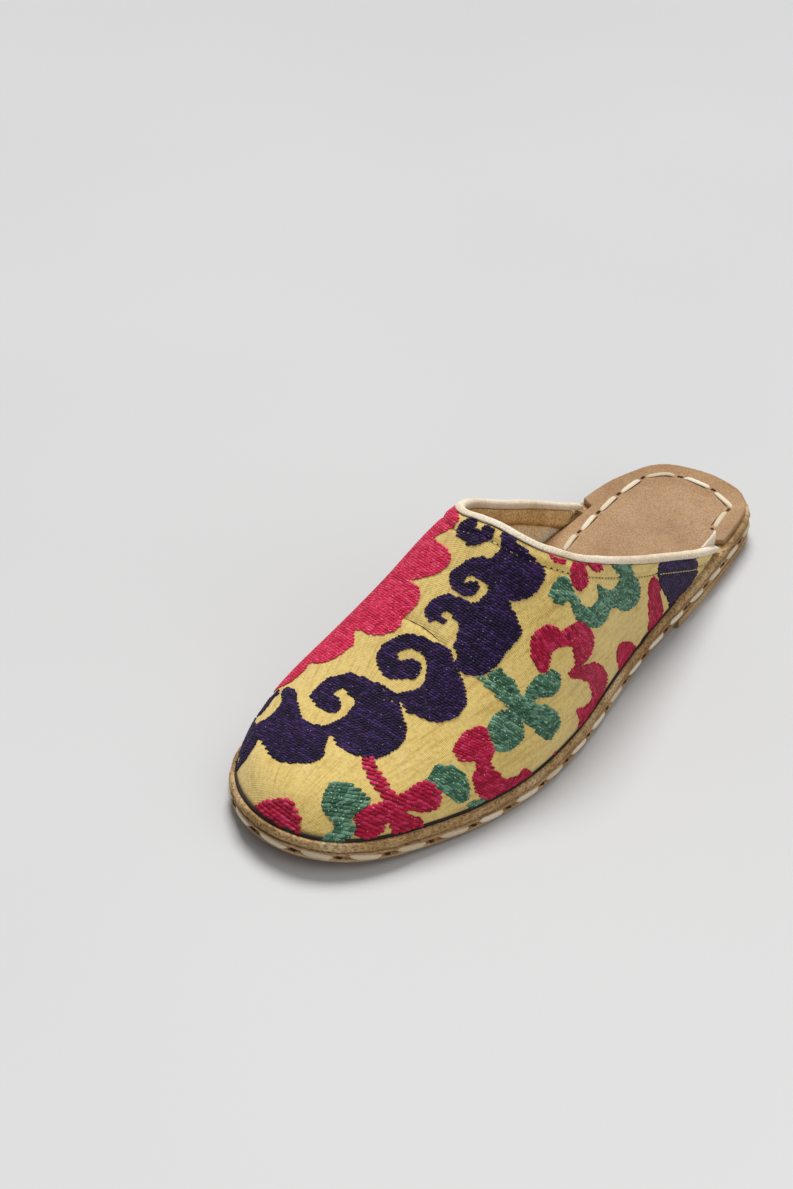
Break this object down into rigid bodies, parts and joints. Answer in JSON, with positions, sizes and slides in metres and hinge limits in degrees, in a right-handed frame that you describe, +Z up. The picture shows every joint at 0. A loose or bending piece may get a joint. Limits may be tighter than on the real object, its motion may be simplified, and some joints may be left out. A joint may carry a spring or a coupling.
{
  "type": "babouche slipper",
  "caption": "Backless flat slipper for the left foot, with an embroidered upper, a bound top edge, an open heel and a leather sole sewn round its side.",
  "frame": {"origin": "on the floor, under the middle of the slipper's bounding box", "axes": "+Z up, +Y from the toe to the heel, +X to the outer side of the left foot"},
  "size_m": [0.0938, 0.262, 0.0763],
  "materials": {
    "sole_leather": "satin, worn smooth at the edge",
    "rough_leather": "matte, rough flesh side",
    "insole_leather": "satin",
    "embroidered_cloth": "matte cloth with chain stitch",
    "binding_tape": "matte"
  },
  "bodies": {
    "root": {"heel_lift": "sole_leather", "outsole": "sole_leather", "midsole": "rough_leather", "insole": "insole_leather", "upper": "embroidered_cloth", "binding": "binding_tape"}
  },
  "joints": []
}
